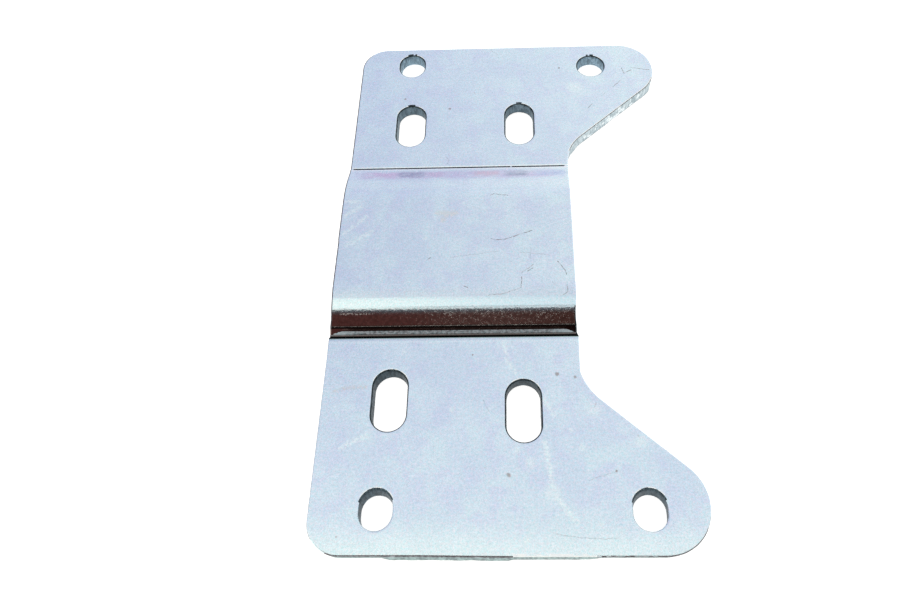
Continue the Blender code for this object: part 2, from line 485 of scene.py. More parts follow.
def fill_face(verts, faces, kinds, rings, rows, top):
    """Triangulates one face of the sheet between its rims and the fold rows.

    The first ring is the outline and the others are holes.
    """
    points, index, edges = [], [], []
    for ring in rings:
        start = len(points)
        for v in ring:
            points.append(Vector((verts[v][0], verts[v][1])))
            index.append(v)
        edges += [(start + i, start + (i + 1) % len(ring)) for i in range(len(ring))]
    depth = verts[rings[0][0]][2]
    border = {round(points[i].y, 4): [] for i in range(len(rings[0]))}
    for i in range(len(rings[0])):
        border[round(points[i].y, 4)].append(i)
    for row in rows:
        ends = [i for i in border.get(round(row, 4), []) if points[i].x < WAIST + 1.0]
        if len(ends) < 2:
            continue
        left = min(ends, key=lambda i: points[i].x)
        right = max(ends, key=lambda i: points[i].x)
        start, end = points[left].x, points[right].x
        count = math.ceil((end - start) / ROW_STEP)
        last = left
        for step in range(1, count):
            points.append(Vector((start + (end - start) * step / count, row)))
            index.append(None)
            edges.append((last, len(points) - 1))
            last = len(points) - 1
        edges.append((last, right))
    result = delaunay_2d_cdt(points, edges, [], 0, 1e-5)
    out_points, out_faces, origin = result[0], result[2], result[3]
    mapped = []
    for place_2d, sources in zip(out_points, origin):
        known = [index[s] for s in sources if index[s] is not None]
        if known:
            mapped.append(known[0])
        else:
            mapped.append(len(verts))
            verts.append((place_2d.x, place_2d.y, depth))
    outer = [points[i] for i in range(len(rings[0]))]
    holes = []
    start = len(rings[0])
    for ring in rings[1:]:
        holes.append([points[start + i] for i in range(len(ring))])
        start += len(ring)
    for face in out_faces:
        middle = sum((out_points[i] for i in face), Vector((0, 0))) / len(face)
        if not inside(middle, outer) or any(inside(middle, hole) for hole in holes):
            continue
        first, second, third = (out_points[i] for i in face[:3])
        if abs((second - first).cross(third - first)) < SLIVER:
            continue
        corners = [mapped[i] for i in face]
        faces.append(tuple(corners if top else corners[::-1]))
        kinds.append("face")


def inside(point, loop):
    """Whether a point lies in a closed loop."""
    hit = False
    for a, b in zip(loop, loop[1:] + loop[:1]):
        if (a.y > point.y) != (b.y > point.y):
            if point.x < a.x + (point.y - a.y) * (b.x - a.x) / (b.y - a.y):
                hit = not hit
    return hit


# ------------------------------------------------------------------ materials
class Graph:
    """Short calls for building a node tree."""

    def __init__(self, tree):
        self.tree = tree
        self.tree.nodes.clear()

    def node(self, kind, **settings):
        made = self.tree.nodes.new(kind)
        for name, value in settings.items():
            setattr(made, name, value)
        return made

    def put(self, socket, value):
        if isinstance(value, bpy.types.NodeSocket):
            self.tree.links.new(value, socket)
        elif value is not None:
            socket.default_value = value

    def math(self, operation, a, b=None, c=None, clamp=False):
        made = self.node("ShaderNodeMath", operation=operation, use_clamp=clamp)
        for socket, value in zip(made.inputs, (a, b, c)):
            self.put(socket, value)
        return made.outputs[0]

    def vector(self, operation, a, b=None, c=None, scale=None):
        made = self.node("ShaderNodeVectorMath", operation=operation)
        self.put(made.inputs[0], a)
        self.put(made.inputs[1], b)
        self.put(made.inputs[2], c)
        if scale is not None:
            self.put(made.inputs["Scale"], scale)
        number = operation in ("LENGTH", "DISTANCE", "DOT_PRODUCT")
        return made.outputs["Value"] if number else made.outputs[0]

    def noise(self, vector, scale, detail=2.0, rough=0.5, distortion=0.0):
        made = self.node("ShaderNodeTexNoise")
        self.put(made.inputs["Vector"], vector)
        made.inputs["Scale"].default_value = scale
        made.inputs["Detail"].default_value = detail
        made.inputs["Roughness"].default_value = rough
        made.inputs["Distortion"].default_value = distortion
        return made.outputs["Fac"]

    def ramp(self, value, low, high, out_low=0.0, out_high=1.0, soft=True):
        made = self.node("ShaderNodeMapRange")
        made.interpolation_type = "SMOOTHSTEP" if soft else "LINEAR"
        self.put(made.inputs["Value"], value)
        for name, number in (("From Min", low), ("From Max", high), ("To Min", out_low),
                             ("To Max", out_high)):
            self.put(made.inputs[name], number)
        return made.outputs["Result"]

    def mix(self, factor, a, b, blend="MIX"):
        made = self.node("ShaderNodeMix", data_type="RGBA", blend_type=blend)
        self.put(made.inputs["Factor"], factor)
        self.put(made.inputs[6], a)
        self.put(made.inputs[7], b)
        return made.outputs[2]


def rgb(red, green, blue):
    """A colour written as 0 to 255 on the screen, in linear light."""
    values = []
    for part in (red, green, blue):
        part /= 255.0
        values.append(part / 12.92 if part <= 0.04045 else ((part + 0.055) / 1.055) ** 2.4)
    return (*values, 1.0)


# Marks on the top face, in plate millimetres
HAIRLINES = (
    ((57, 109), (60.5, 108.4), (65, 109.8), (72, 112.5)),
    ((56.5, 128.6), (58, 129.4), (63, 128.5)),
    ((33.5, 100.4), (35, 101.6)),
    ((68, 94.8), (70.5, 96.4), (72, 98)),
    ((70, 95), (72, 96.4)),
    ((67.9, 92.8), (67.4, 88.4)),
    ((81, 99.2), (83.4, 95.4), (84, 93.6)),
    ((83.8, 89.7), (84, 86.7), (82.2, 85.6)),
    ((56, 85.9), (60, 86.3), (63.5, 87.1), (67.5, 88.4)),
    ((47.3, 89.4), (48.8, 88.9)),
    ((113, 198), (113.8, 195.2), (117, 196.8)),
    ((112, 191), (108.4, 187.2)),
    ((99, 178), (97, 175.6)),
    ((117, 198.4), (124.6, 196.6)),
)
FAINT_LINES = (
    ((42, 101.4), (49, 102.2), (59.5, 103.7)),
    ((67.5, 103.2), (78, 101.8)),
    ((71.5, 105), (71, 100)),
    ((105.2, 184.4), (103.4, 182.8)),
    ((38.3, 151.3), (39.6, 149.7), (38.8, 147.8)),
    ((56.3, 211), (59.4, 207.6)),
    ((75.8, 6.6), (82.4, 5.4), (88.4, 4.9), (95, 5)),
    ((54.2, 48.8), (56.2, 45)),
    ((88, 22.4), (96.7, 25.1)),
    ((91.7, 47.8), (90.9, 45.8)),
    ((78.5, 90.6), (80, 89.4)),
)
PALE_STREAKS = (
    ((61, 69.5), (62.6, 62.5), (65, 58.5)),
    ((73.5, 49.5), (77.5, 44)),
    ((74.3, 34.5), (75.4, 28), (76.2, 20.5)),
    ((77.6, 17), (79.8, 13.9), (83.3, 9.6)),
    ((8, 32.5), (11.6, 35.3), (16.4, 37)),
    ((1.5, 120.4), (7.3, 124.2)),
    ((1.8, 112.3), (9.6, 119.5)),
    ((3.3, 107.3), (12.4, 112.8)),
    ((1.5, 126.6), (6, 126.5)),
)
PALE_SPOTS = ((43.9, 45.6, 0.9), (26.6, 66.4, 0.6), (82.9, 38.4, 0.7), (86.2, 32.8, 1.1),
              (69.4, 27.8, 1.7), (65.3, 32.0, 0.9), (67.9, 4.3, 0.9), (90.8, 9.2, 0.8),
              (76.3, 18.6, 2.6), (66.8, 114.2, 0.8), (71.0, 109.1, 0.7), (46.5, 125.2, 0.8),
              (32.4, 109.8, 0.7), (90.8, 45.4, 2.4), (105.2, 34.6, 1.6), (92.0, 187.5, 3.0))
RUST_DOTS = ((86.0, 198.9, 0.45), (19.9, 182.9, 0.55), (38.9, 176.8, 0.55), (62.6, 24.1, 0.75),
             (96.7, 25.1, 0.40), (79.2, 57.8, 0.65), (85.2, 56.6, 0.45), (50.6, 65.0, 0.35))
PALE_DASHES = ((3.6, 79.9), (15.5, 79.7))
OCHRE_PATCH = ((36.5, 120.8), (43.5, 120.7), (39.5, 119.4), (38.8, 117.4))
OCHRE_SMEAR = ((4, 52.4), (9, 53.6), (14, 53.8))
# Start and end across the plate, colour and strength of the far fold's stains
STAINS = (
    (7.0, 20.0, (206, 188, 220), 0.65),
    (20.0, 30.0, (150, 152, 184), 0.85),
    (31.0, 38.0, (200, 186, 214), 0.55),
    (50.0, 60.0, (208, 188, 204), 0.60),
    (62.5, 71.0, (150, 163, 186), 0.80),
    (74.0, 86.0, (176, 190, 226), 0.85),
)

# Lines along the folds: start and end as distances past the crease, softness of
# their borders, strength and colour. The dark lines, the one under the lip among
# them, are painted shade, with some dirt in the near crease; the palest near line
# and the far lines are painted highlights.
CREASE_SHADE_AND_HIGHLIGHT_LINES = (
    (0.2, 0.61, 0.08, 1.0, (72, 66, 67)),
    (-0.58, 0.30, 0.08, 1.0, (3, 8, 9)),
    (-0.84, -0.62, 0.08, 1.0, (150, 176, 174)),
    (-1.65, -0.92, 0.15, 0.80, (182, 193, 221)),
    (-2.4, -1.1, 0.3, 0.4, (216, 232, 242)),
)
FAR_HIGHLIGHT_LINES = (
    (-0.90, -0.25, 0.12, 0.90, (232, 242, 248)),
    (0.36, 1.15, 0.15, 0.75, (232, 236, 246)),
)
LIP_SHADE_LINE = (2.88, 3.46, 0.07, 1.0, (16, 12, 12))
# Where the painted highlight lies on the lip's edge
LIP_HIGHLIGHT_BAND = (3.55, 3.86, 0.08)

# Colours as they are written on the screen, 0 to 255
ZINC_DULL = (202, 218, 236)
ZINC_PALE = (208, 224, 239)
ZINC_LILAC = (202, 212, 236)
ZINC_GREEN = (208, 228, 239)
# The near end's painted reflection
NEAR_END_SHEEN_TINT = (221, 238, 245)
PALE_TINT = (224, 238, 243)
OCHRE_TINT = (212, 212, 208)
SMEAR_TINT = (206, 200, 196)
SCRATCH_TINT = (126, 116, 116)
RUST_TINT = (140, 120, 112)
FLECK_TINTS = ((150, 146, 152), (228, 234, 238))
# The near crown's painted highlight, its margin of painted shade and the line of painted shade
# under it
CROWN_HIGHLIGHT_TINTS = ((208, 226, 235), (190, 210, 226))
CROWN_MARGIN_SHADE_TINT = (190, 203, 212)
UNDER_CROWN_TINT = (150, 164, 176)
# The web's colour: scuffs, and darker and warmer as a painted reflection
WEB_SCUFF_AND_REFLECTION_TINTS = ((182, 172, 170), (208, 202, 200))
SQUIGGLE_TINT = (240, 240, 238)
# The land's grey is a painted reflection, lighter towards its ends
LAND_REFLECTION_TINTS = ((84, 87, 93), (126, 132, 140))
LAND_END_REFLECTION_TINT = (152, 164, 174)
# Painted shade in the hollow under the lip, and the painted highlight on the lip's edge
HOLLOW_SHADE_TINTS = ((190, 176, 174), (72, 60, 58))
LIP_HIGHLIGHT_TINT = (148, 144, 140)
DASH_TINT = (250, 250, 248)
# Painted shade in the far crease's groove
GROOVE_SHADE_TINT = (38, 36, 40)
STAIN_TINT = (196, 193, 224)
# The far crown's painted highlight
FAR_CROWN_HIGHLIGHT_TINT = (218, 233, 241)

# How far the noise shakes the strokes and spots off their drawn places
SHAKE = 1.2
ZINC_BUMP = 0.00004
WALL_BUMP = 0.00008

# Painted light and shade on the hole walls, as their brightness at the near end
# holes, near slots, far slots and far end holes, and where along the plate each
# changes to the next
WALL_PAINTED_LIGHT = (0.66, 0.44, 1.05, 1.90)
WALL_BORDERS = ((22.0, 34.0), (65.0, 150.0), (181.0, 190.0))

# The materials after the face, in the order of FINISHES: light, dark and patch
# colours, roughness, whether the hole's row sets the brightness as painted light
# and shade, and metallic. The two dark rim materials are painted shade, and the
# white one is a painted highlight.
WALL_LOOKS = (
    ("hole_walls", (108, 128, 140), (78, 92, 102), (116, 134, 146), (0.42, 0.55), True, 1.0),
    ("sheared_edges", (196, 208, 214), (146, 162, 170), (222, 230, 234), (0.40, 0.50), False, 1.0),
    ("near_walls", (146, 172, 172), (98, 116, 120), (158, 180, 182), (0.40, 0.50), False, 1.0),
    ("rolled_rim_shade", (124, 122, 128), (82, 78, 84), (150, 152, 160), (0.35, 0.45), False, 1.0),
    ("hole_rim_shade", (64, 74, 80), (30, 38, 42), (80, 92, 100), (0.35, 0.45), False, 1.0),
    ("rim_highlights", (247, 251, 255), (238, 245, 253), (250, 253, 255), (0.40, 0.50), False, 0.0),
)


def strokes(g, place_mm, lines):
    """Distance in millimetres to the nearest of some bent lines."""
    nearest = None
    for line in lines:
        for (ax, ay), (bx, by) in zip(line, line[1:]):
            run = Vector((bx - ax, by - ay, 0.0))
            step = run / run.length_squared
            share = g.vector("DOT_PRODUCT", place_mm, tuple(step))
            share = g.math("SUBTRACT", share, step.x * ax + step.y * ay, clamp=True)
            on_line = g.vector("MULTIPLY_ADD", tuple(run), share, (ax, ay, 0.0))
            away = g.vector("DISTANCE", place_mm, on_line)
            nearest = away if nearest is None else g.math("MINIMUM", nearest, away)
    return nearest


def spots(g, place_mm, dots, soft):
    """1 inside some round spots, fading over a share of each radius."""
    mask = None
    for x, y, radius in dots:
        away = g.vector("DISTANCE", place_mm, (x, y, 0.0))
        dot = g.ramp(away, radius * (1.0 - soft), radius * (1.0 + soft), 1.0, 0.0)
        mask = dot if mask is None else g.math("MAXIMUM", mask, dot)
    return mask


def band(g, value, low, high, soft):
    """1 between two values, with soft borders."""
    rise = g.ramp(value, low - soft, low + soft)
    fall = g.ramp(value, high - soft, high + soft, 1.0, 0.0)
    return g.math("MULTIPLY", rise, fall)


def plate_millimetres(g):
    """Place on the plate in millimetres, x from the left edge, y from the near end."""
    where = g.node("ShaderNodeTexCoord").outputs["Object"]
    return g.vector("MULTIPLY_ADD", where, (1000.0,) * 3, (CENTRE_X, CENTRE_Y, 0.0))


def paint(g, colour, mask, tint, share=1.0):
    """Lays a tint over a colour where the mask is 1."""
    if share < 1.0:
        mask = g.math("MULTIPLY", mask, share)
    return g.mix(mask, colour, rgb(*tint))


def paint_line(g, colour, value, low, high, soft, share, tint):
    """Paints a line where a value lies between two others."""
    return paint(g, colour, band(g, value, low, high, soft), tint, share)


def moved(g, flat, dx, dy):
    """The place shifted, so that two noises differ."""
    return g.vector("ADD", flat, (dx, dy, 0.0))


def zinc_textures(g):
    """The places and noises that the parts of the zinc finish share."""
    mm = plate_millimetres(g)
    parts = g.node("ShaderNodeSeparateXYZ")
    g.put(parts.inputs[0], mm)
    flat = g.vector("MULTIPLY", mm, (1.0, 1.0, 0.0))
    return SimpleNamespace(
        x=parts.outputs["X"],
        y=parts.outputs["Y"],
        flat=flat,
        wide=g.noise(flat, 1 / 17.0, 3.0, 0.55, 0.5),
        cloud=g.noise(moved(g, flat, 90.0, 40.0), 1 / 11.0, 4.0, 0.62, 0.4),
        lilac=g.noise(moved(g, flat, 10.0, 70.0), 1 / 7.0, 4.0, 0.62, 0.6),
        fine=g.noise(flat, 1 / 1.3, 4.0, 0.65),
        grain=g.noise(flat, 1 / 0.55, 2.0, 0.6),
        rosy=g.noise(moved(g, flat, 50.0, 20.0), 1 / 0.75, 3.0, 0.7),
    )


def zinc_clouds(g, t):
    """The plain face: clouded, with a paler brim along the near end that is a painted reflection.
    """
    colour = g.mix(g.ramp(t.wide, 0.36, 0.64), rgb(*ZINC_DULL), rgb(*ZINC_PALE))
    colour = paint(g, colour, g.ramp(t.lilac, 0.44, 0.64, 0.0, 0.70), ZINC_LILAC)
    colour = paint(g, colour, g.ramp(t.cloud, 0.48, 0.68, 0.0, 0.60), ZINC_GREEN)
    # Paler towards the near end: a painted reflection
    near_end_sheen = g.ramp(g.math("MULTIPLY_ADD", t.cloud, 8.0, t.y), 4.0, 17.0, 0.75, 0.0)
    return paint(g, colour, near_end_sheen, NEAR_END_SHEEN_TINT)


def worn_strokes(g, t, lines, reach, strength, wear):
    """Strokes that fade between two distances, broken up by the fine noise."""
    mask = g.ramp(strokes(g, t.bent, lines), *reach, strength, 0.0)
    return g.math("MULTIPLY", mask, g.ramp(t.fine, *wear))


def zinc_marks(g, t, colour):
    """Streaks, smears, specks, scratches and flecks of the top face."""
    shaken = g.noise(t.flat, 1 / 2.2, 2.0, 0.5)
    shaken_too = g.noise(moved(g, t.flat, 37.0, 11.0), 1 / 2.2, 2.0, 0.5)
    shake = g.node("ShaderNodeCombineXYZ")
    g.put(shake.inputs[0], g.math("MULTIPLY_ADD", shaken, SHAKE, -SHAKE / 2))
    g.put(shake.inputs[1], g.math("MULTIPLY_ADD", shaken_too, SHAKE, -SHAKE / 2))
    t.bent = g.vector("ADD", t.flat, shake.outputs[0])

    streak = worn_strokes(g, t, PALE_STREAKS, (0.15, 1.5), 0.72, (0.38, 0.6, 0.2, 1.0))
    colour = paint(g, colour, streak, PALE_TINT)
    patch = worn_strokes(g, t, (OCHRE_PATCH,), (0.3, 1.5), 0.55, (0.36, 0.58, 0.35, 1.0))
    colour = paint(g, colour, patch, OCHRE_TINT)
    smear = worn_strokes(g, t, (OCHRE_SMEAR,), (0.1, 1.1), 0.6, (0.40, 0.58, 0.1, 1.0))
    colour = paint(g, colour, smear, SMEAR_TINT)
    colour = paint(g, colour, spots(g, t.bent, PALE_SPOTS, 0.7), PALE_TINT, 0.5)
    hair = g.ramp(strokes(g, t.bent, HAIRLINES), 0.06, 0.24, 0.85, 0.0)
    faint = g.ramp(strokes(g, t.bent, FAINT_LINES), 0.04, 0.24, 0.36, 0.0)
    hair = g.math("MULTIPLY", g.math("MAXIMUM", hair, faint), g.ramp(t.fine, 0.40, 0.56, 0.2, 0.95))
    colour = paint(g, colour, hair, SCRATCH_TINT)
    colour = paint(g, colour, spots(g, t.bent, RUST_DOTS, 0.5), RUST_TINT, 0.65)

    # Flecks scattered over the whole face, some pale and some dark
    fleck = g.node("ShaderNodeTexVoronoi")
    g.put(fleck.inputs["Vector"], t.flat)
    fleck.inputs["Scale"].default_value = 1 / 5.0
    tone = g.node("ShaderNodeSeparateColor")
    g.put(tone.inputs[0], fleck.outputs["Color"])
    reach = g.ramp(tone.outputs[0], 0.55, 1.0, 0.0, 0.075)
    small = g.math("LESS_THAN", fleck.outputs["Distance"], reach)
    share = g.math("MULTIPLY", small, 0.45)
    dark, pale = FLECK_TINTS
    return g.mix(share, colour, g.mix(g.ramp(tone.outputs[1], 0.22, 0.35), rgb(*dark), rgb(*pale)))


def near_crown(g, t, colour):
    """The near crown: a band painted as its highlight, a margin of painted shade and a darker line
    of painted shade under the highlight.
    """
    crown_highlight = band(g, t.near, 8.9, 13.3, 0.25)
    left, right = CROWN_HIGHLIGHT_TINTS
    crown_highlight_colour = g.mix(g.ramp(t.x, 10.0, 80.0), rgb(*left), rgb(*right))
    colour = g.mix(g.math("MULTIPLY", crown_highlight, 0.9), colour, crown_highlight_colour)
    # Painted shade on the crown's margin
    crown_margin_shade = g.math("MULTIPLY", g.ramp(t.near, 13.0, 13.5), g.ramp(t.near, 13.4, 18.5, 1.0, 0.0))
    colour = paint(g, colour, crown_margin_shade, CROWN_MARGIN_SHADE_TINT, 0.45)
    # A darker line of painted shade along the lower part of the highlight
    wavy = g.math("MULTIPLY_ADD", t.ragged, 0.8, t.near)
    under = g.math("MULTIPLY", band(g, wavy, 9.55, 10.0, 0.15), g.ramp(t.x, 10.0, 42.0))
    return paint(g, colour, under, UNDER_CROWN_TINT, 0.55)


def near_web(g, t, colour, near_ragged):
    """The web: scuffed, and darker and warmer as a painted reflection, with pale squiggles, under a
    border that frays out.

    Also returns where the web and its squiggles are.
    """
    skin = g.ramp(near_ragged, 6.5, 10.2)
    web = band(g, t.near, 0.40, 10.4, 0.30)
    winding = g.noise(moved(g, t.flat, 5.0, 60.0), 1 / 2.4, 3.0, 0.6, 1.5)
    contour = g.math("ABSOLUTE", g.math("SUBTRACT", winding, 0.5))
    squiggle = g.math("MULTIPLY", g.ramp(contour, 0.004, 0.018, 1.0, 0.0),
                      g.ramp(t.fine, 0.38, 0.54))
    squiggle = g.math("MULTIPLY", squiggle, g.ramp(t.x, 15.0, 45.0, 0.12, 0.7))
    # Scuffs, with the web darker and warmer as a painted reflection
    dark, light = WEB_SCUFF_AND_REFLECTION_TINTS
    web_scuffs_and_reflection = g.mix(g.ramp(t.fine, 0.36, 0.64), rgb(*dark), rgb(*light))
    web_scuffs_and_reflection = paint(g, web_scuffs_and_reflection, squiggle, SQUIGGLE_TINT)
    web_scuffs_and_reflection = g.mix(skin, web_scuffs_and_reflection, colour)
    return g.mix(web, colour, web_scuffs_and_reflection), web, squiggle


def near_foot(g, t, colour):
    """The foot of the near web: the die's land with its grey painted as a reflection, painted shade
    in the hollow under its lip and along the lip, a painted highlight on the lip's edge, and the
    crease's lines.
    """
    land_start = g.math("MULTIPLY_ADD", t.ragged, 0.20, t.near)
    land_end = g.ramp(t.ends, 0.0, LAND_TAPER, 0.75, 2.20)
    land = g.math("MULTIPLY", g.ramp(land_start, 0.30, 0.8), g.math(
        "LESS_THAN", g.math("MULTIPLY_ADD", t.ragged, 0.35, t.near), land_end))
    # The land's grey: a painted reflection, mottled by a noise and lighter towards its ends
    tread = g.noise(g.vector("MULTIPLY", t.flat, (0.6, 1.0, 1.0)), 1 / 0.7, 3.0, 0.65)
    dark, light = LAND_REFLECTION_TINTS
    land_reflection = g.mix(g.ramp(tread, 0.36, 0.62), rgb(*dark), rgb(*light))
    land_reflection = paint(g, land_reflection, g.ramp(t.ends, 2.0, 12.0, 0.7, 0.0), LAND_END_REFLECTION_TINT)
    colour = g.mix(land, colour, land_reflection)
    # Painted shade in the hollow under the lip, lighter at the left end
    under_lip = g.math("MULTIPLY", g.math("GREATER_THAN", t.near, land_end),
                       g.ramp(t.near, 2.85, 2.95, 1.0, 0.0))
    left, right = HOLLOW_SHADE_TINTS
    hollow_shade = g.mix(g.ramp(t.x, 2.0, 9.0), rgb(*left), rgb(*right))
    colour = g.mix(g.math("MULTIPLY", under_lip, g.ramp(t.near, 0.2, 0.4)), colour, hollow_shade)
    # Painted shade in a dark line under the lip, then a painted highlight on its edge
    colour = paint_line(g, colour, t.near, *LIP_SHADE_LINE)
    lip_highlight = g.math("MULTIPLY", band(g, t.near, *LIP_HIGHLIGHT_BAND), g.ramp(t.fine, 0.34, 0.5, 0.45, 0.85))
    colour = paint(g, colour, lip_highlight, LIP_HIGHLIGHT_TINT)
    # Painted shade and some dirt in the near crease, and a painted highlight beside it
    for line in CREASE_SHADE_AND_HIGHLIGHT_LINES:
        colour = paint_line(g, colour, t.near, *line)
    return colour


def far_fold(g, t, colour):
    """The far fold: a hair-thin crease of painted shade between painted highlight lines, then a
    stained band and a painted highlight on the crown.
    """
    far = g.math("SUBTRACT", FAR_CREASE, t.y)
    inner = g.ramp(t.ends, 0.8, 1.6)
    wavy = g.math("MULTIPLY_ADD", t.ragged, 0.22, far)
    # Painted highlights along both sides of the groove
    for line in FAR_HIGHLIGHT_LINES:
        colour = paint_line(g, colour, wavy, *line)
    # Painted shade in the hair-thin groove, broken by gaps
    groove_shade = g.math("MULTIPLY", band(g, wavy, -0.33, 0.32, 0.06), inner)
    gaps = g.noise(g.vector("MULTIPLY", t.flat, (1.0, 0.0, 0.0)), 1 / 2.2, 2.0, 0.6)
    groove_shade = g.math("MULTIPLY", groove_shade, g.ramp(gaps, 0.34, 0.38))
    colour = paint(g, colour, groove_shade, GROOVE_SHADE_TINT)
    mottled = g.noise(g.vector("MULTIPLY", t.flat, (0.5, 1.0, 1.0)), 1 / 3.2, 4.0, 0.62)
    frayed = g.math("MULTIPLY_ADD", t.ragged, 1.6, far)
    stain = g.math("MULTIPLY", band(g, frayed, 2.4, 7.2, 1.4),
                   g.ramp(mottled, 0.3, 0.62, 0.35, 0.95))
    stain = g.math("MULTIPLY", stain, g.ramp(t.ends, 1.0, 9.0))
    colour = paint(g, colour, stain, STAIN_TINT)
    for start, end, tint, share in STAINS:
        spot = band(g, g.math("MULTIPLY_ADD", t.ragged, 3.0, t.x), start, end, 1.5)
        spot = g.math("MULTIPLY", spot, band(g, frayed, 2.9, 6.2, 1.0))
        spot = g.math("MULTIPLY", spot, g.ramp(mottled, 0.34, 0.60, 0.35 * share, share))
        colour = paint(g, colour, spot, tint)
    # A paler band on the far crown: a painted highlight
    return paint(g, colour, band(g, far, 8.5, 13.0, 1.5), FAR_CROWN_HIGHLIGHT_TINT, 0.35)


def zinc_material():
    """The plated top face, with the marks of use and of the fold die, and highlights, shade and
    reflections painted on the folds and along the near end.

    It is close to the largest material that the renderer takes, and turns black
    without a message when more is added.
    """
    material = bpy.data.materials.new("zinc_plating")
    material.use_nodes = True
    g = Graph(material.node_tree)
    t = zinc_textures(g)
    colour = zinc_marks(g, t, zinc_clouds(g, t))
    t.near = g.math("SUBTRACT", t.y, NEAR_CREASE)
    t.ragged = g.math("MULTIPLY_ADD", g.noise(t.flat, 1 / 1.1, 4.0, 0.7), 1.0, -0.5)
    near_ragged = g.math("MULTIPLY_ADD", t.ragged, 0.9, t.near)
    t.ends = g.math("MINIMUM", t.x, g.math("SUBTRACT", WAIST, t.x))
    colour = near_crown(g, t, colour)
    colour, web, squiggle = near_web(g, t, colour, near_ragged)
    colour = near_foot(g, t, colour)
    dashes = g.math("MULTIPLY", g.ramp(strokes(g, t.bent, (PALE_DASHES,)), 0.1, 0.35, 0.6, 0.0),
                    g.ramp(t.grain, 0.46, 0.56))
    colour = paint(g, colour, dashes, DASH_TINT)
    colour = far_fold(g, t, colour)

    # Grain in brightness, and a rosy one in red alone
    value = g.math("MULTIPLY", g.ramp(t.grain, 0.2, 0.8, 0.88, 1.12, soft=False),
                   g.ramp(t.fine, 0.25, 0.75, 0.93, 1.07, soft=False))
    speckle = g.node("ShaderNodeCombineXYZ")
    rosy = g.ramp(t.rosy, 0.2, 0.8, 0.74, 1.26, soft=False)
    g.put(speckle.inputs[0], g.math("MULTIPLY", value, rosy))
    g.put(speckle.inputs[1], value)
    g.put(speckle.inputs[2], value)
    colour = g.mix(1.0, colour, speckle.outputs[0], "MULTIPLY")

    # The near web and crown are smoother than the rest, but for their scuffs
    mirror = band(g, t.near, 0.5, 14.6, 0.6)
    rough = g.math("MULTIPLY_ADD", mirror, -0.18, g.ramp(t.cloud, 0.3, 0.7, 0.23, 0.25))
    scuffs = g.math("MULTIPLY", web, g.math("MAXIMUM", squiggle, dashes))
    rough = g.math("MULTIPLY_ADD", scuffs, 0.30, rough)
    worn = g.math("MULTIPLY", web, g.ramp(t.grain, 0.5, 0.75))
    rough = g.math("MULTIPLY_ADD", worn, 0.05, rough)

    bump = g.node("ShaderNodeBump")
    bump.inputs["Strength"].default_value = 0.35
    bump.inputs["Distance"].default_value = ZINC_BUMP
    g.put(bump.inputs["Height"], g.math("ADD", t.fine, g.math("MULTIPLY", t.grain, 0.6)))

    shader = g.node("ShaderNodeBsdfPrincipled")
    shader.inputs["Metallic"].default_value = 1.0
    g.put(shader.inputs["Base Color"], colour)
    g.put(shader.inputs["Roughness"], rough)
    g.put(shader.inputs["Normal"], bump.outputs[0])
    g.put(g.node("ShaderNodeOutputMaterial").inputs[0], shader.outputs[0])
    return material


def wall_material(name, light, dark, patch_light, rough, row_lit, metal):
    """Sheared steel under thin plating: streaked from top to bottom.

    With the row switch on, its brightness follows the row of holes that the wall is in: painted
    light and shade.
    """
    material = bpy.data.materials.new(name)
    material.use_nodes = True
    g = Graph(material.node_tree)
    mm = plate_millimetres(g)
    streak = g.noise(g.vector("MULTIPLY", mm, (1.0, 1.0, 0.25)), 1 / 0.8, 4.0, 0.6)
    patch = g.noise(mm, 1 / 3.2, 3.0, 0.6)
    colour = g.mix(g.ramp(streak, 0.35, 0.68), rgb(*dark), rgb(*light))
    colour = paint(g, colour, g.ramp(patch, 0.54, 0.64), patch_light)
    if row_lit:
        parts = g.node("ShaderNodeSeparateXYZ")
        g.put(parts.inputs[0], mm)
        y = parts.outputs["Y"]
        row = g.ramp(y, *WALL_BORDERS[0], *WALL_PAINTED_LIGHT[:2])
        for border, before, after in zip(WALL_BORDERS[1:], WALL_PAINTED_LIGHT[1:], WALL_PAINTED_LIGHT[2:]):
            row = g.math("ADD", row, g.ramp(y, *border, 0.0, after - before))
        colour = g.vector("SCALE", colour, scale=row)
    bump = g.node("ShaderNodeBump")
    bump.inputs["Strength"].default_value = 0.6
    bump.inputs["Distance"].default_value = WALL_BUMP
    g.put(bump.inputs["Height"], streak)
    shader = g.node("ShaderNodeBsdfPrincipled")
    shader.inputs["Metallic"].default_value = metal
    g.put(shader.inputs["Base Color"], colour)
    g.put(shader.inputs["Roughness"], g.ramp(patch, 0.3, 0.7, *rough))
    g.put(shader.inputs["Normal"], bump.outputs[0])
    g.put(g.node("ShaderNodeOutputMaterial").inputs[0], shader.outputs[0])
    return material


# ---------------------------------------------------------------------- plate
plate_mesh = build_plate()
plate_mesh.materials.append(zinc_material())
for look in WALL_LOOKS:
    plate_mesh.materials.append(wall_material(*look))
plate = bpy.data.objects.new("folded_plate", plate_mesh)
bpy.context.scene.collection.objects.link(plate)
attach(plate, "root")
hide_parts("mount_plate")


